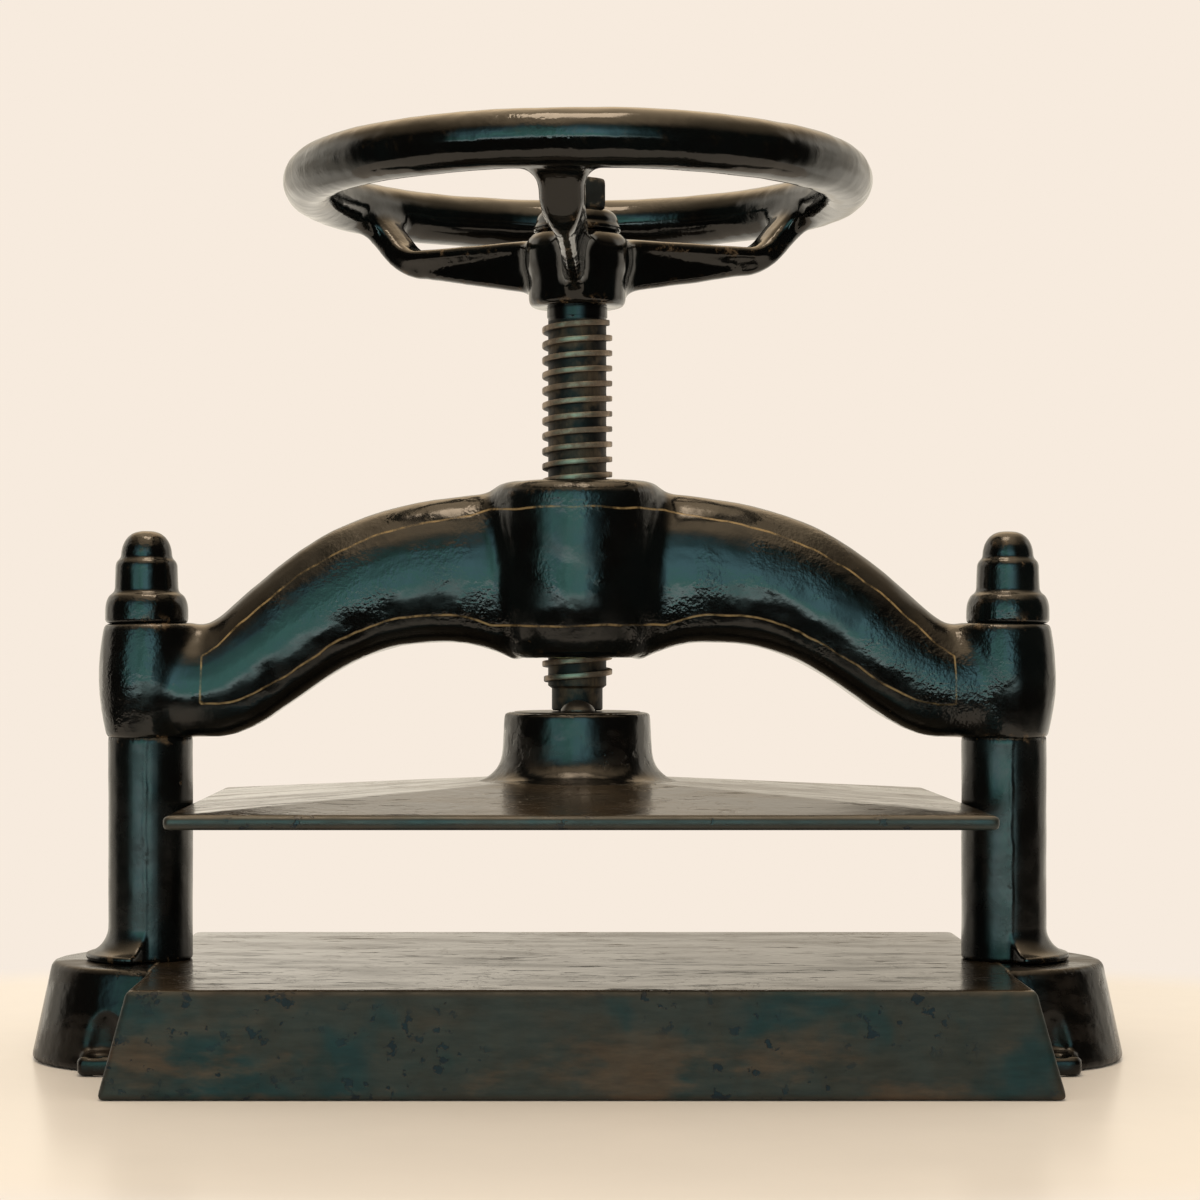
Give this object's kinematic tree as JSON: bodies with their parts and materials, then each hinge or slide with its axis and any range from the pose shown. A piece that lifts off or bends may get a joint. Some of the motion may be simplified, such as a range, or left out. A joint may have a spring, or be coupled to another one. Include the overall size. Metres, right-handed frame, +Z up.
{
  "type": "copying press",
  "caption": "Cast-iron screw press with a flat bed, arched bridge on columns, square-thread screw, dished hand wheel and hipped platen for pressing books and papers.",
  "frame": {"origin": "on the bench under the middle of the bed", "axes": "+X to the right seen from the front, +Y to the back, +Z up along the screw"},
  "size_m": [0.456, 0.246, 0.3759],
  "materials": {
    "japanned_iron": "gloss black enamel on cast iron",
    "bed_iron": "worn green-black enamel on cast iron",
    "platen_iron": "worn black enamel on cast iron",
    "keep_iron": "blackened",
    "screw_steel": "turned and oiled",
    "bolt_steel": "plain",
    "bronze": "turned bronze"
  },
  "bodies": {
    "frame": {"base": "bed_iron", "left_column": "japanned_iron", "right_column": "japanned_iron", "bridge": "japanned_iron", "left_tie_bolt": "bolt_steel", "right_tie_bolt": "bolt_steel", "left_finial": "japanned_iron", "right_finial": "japanned_iron", "column_dowels": "bolt_steel", "screw_nut": "bronze", "nut_pin": "bolt_steel"},
    "platen": {"platen": "platen_iron", "front_keep": "keep_iron", "back_keep": "keep_iron", "keep_screws": "keep_iron", "thrust_disc": "bronze"},
    "screw": {"press_screw": "screw_steel", "hand_wheel": "japanned_iron", "wheel_key": "bolt_steel", "wheel_washer": "japanned_iron", "wheel_nut": "japanned_iron"}
  },
  "joints": [
    {"name": "platen_travel", "type": "slide", "parent": "frame", "child": "platen", "axis": [0, 0, 1], "range_m": [-0.0604, 0.0159]},
    {"name": "wheel_turn", "type": "hinge", "parent": "platen", "child": "screw", "pos_m": [0, 0, 0.15], "axis": [0, 0, 1], "range_deg": [-3420, 900]}
  ],
  "couplings": [
    {"joint": "platen_travel", "follows": "wheel_turn", "m_per_rad": 0.0010106}
  ]
}
